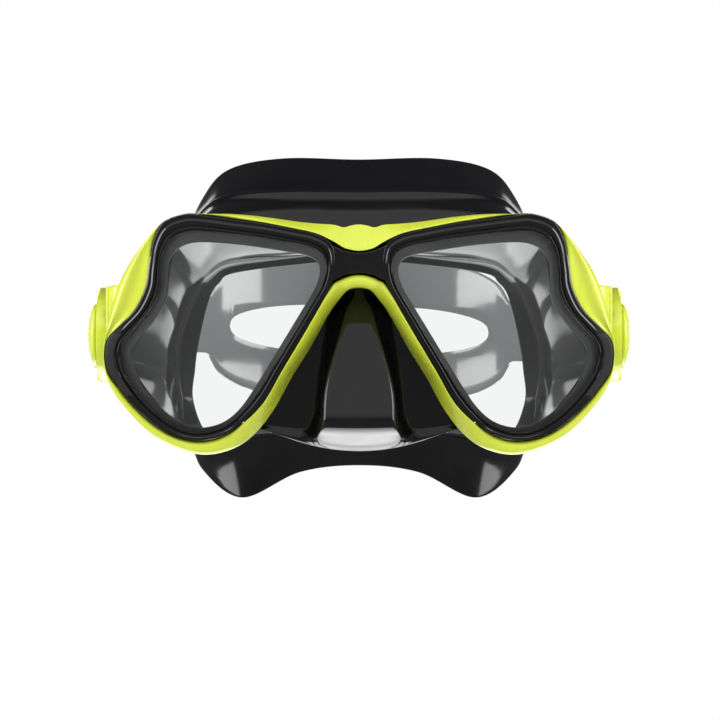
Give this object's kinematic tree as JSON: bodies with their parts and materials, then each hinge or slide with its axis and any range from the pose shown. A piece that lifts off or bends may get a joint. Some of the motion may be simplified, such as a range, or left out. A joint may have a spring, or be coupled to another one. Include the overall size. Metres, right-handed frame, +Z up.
{
  "type": "snorkel mask",
  "caption": "Two-lens snorkelling mask: lime frame, black bezel, silicone skirt with nose pocket, and a split head strap on swivelling buckles with rollers and lock levers.",
  "frame": {"origin": "middle of the face opening at strap height, between the two swivel buttons and the wearer's face", "axes": "+X towards the right-hand buckle as seen from the front, +Y from the lenses back to the strap's head pad, +Z up"},
  "size_m": [0.1786, 0.2178, 0.112],
  "materials": {
    "lime_plastic": "gloss",
    "black_plastic": "high gloss",
    "black_silicone": "satin",
    "clear_glass": "polished",
    "roller_plastic": "matt",
    "steel": "brushed"
  },
  "bodies": {
    "mask": {"main_frame": "lime_plastic", "front_bezel": "black_plastic", "skirt": "black_silicone", "lens_right": "clear_glass", "lens_left": "clear_glass", "swivel_button_right": "lime_plastic", "swivel_button_left": "lime_plastic", "swivel_clip_right": "black_plastic", "swivel_clip_left": "black_plastic"},
    "head_strap": {"strap": "black_silicone", "buckle_body_right": "lime_plastic", "buckle_body_left": "lime_plastic", "roller_pin_right": "steel", "roller_pin_left": "steel", "lever_pin_right": "steel", "lever_pin_left": "steel", "strap_keeper_right": "black_silicone", "strap_keeper_left": "black_silicone"},
    "roller_right": {"strap_roller_right": "roller_plastic"},
    "roller_left": {"strap_roller_left": "roller_plastic"},
    "lever_right": {"lock_lever_right": "lime_plastic"},
    "lever_left": {"lock_lever_left": "lime_plastic"}
  },
  "joints": [
    {"name": "strap_swivel", "type": "hinge", "parent": "mask", "child": "head_strap", "pos_m": [0, -0.026, 0], "axis": [1, 0, 0], "range_deg": [-45, 60]},
    {"name": "roller_right_spin", "type": "hinge", "parent": "head_strap", "child": "roller_right", "pos_m": [0.0785, -0.002, 0], "axis": [0, 0, 1], "continuous": true},
    {"name": "roller_left_spin", "type": "hinge", "parent": "head_strap", "child": "roller_left", "pos_m": [-0.0785, -0.002, 0], "axis": [0, 0, -1], "continuous": true},
    {"name": "lever_right_lift", "type": "hinge", "parent": "head_strap", "child": "lever_right", "pos_m": [0.0856, 0.005, 0], "axis": [0, 0, 1], "range_deg": [0, 20], "stiffness_Nm_per_rad": 0.02, "springref_deg": -8.59},
    {"name": "lever_left_lift", "type": "hinge", "parent": "head_strap", "child": "lever_left", "pos_m": [-0.0856, 0.005, 0], "axis": [0, 0, -1], "range_deg": [0, 20], "stiffness_Nm_per_rad": 0.02, "springref_deg": -8.59}
  ]
}
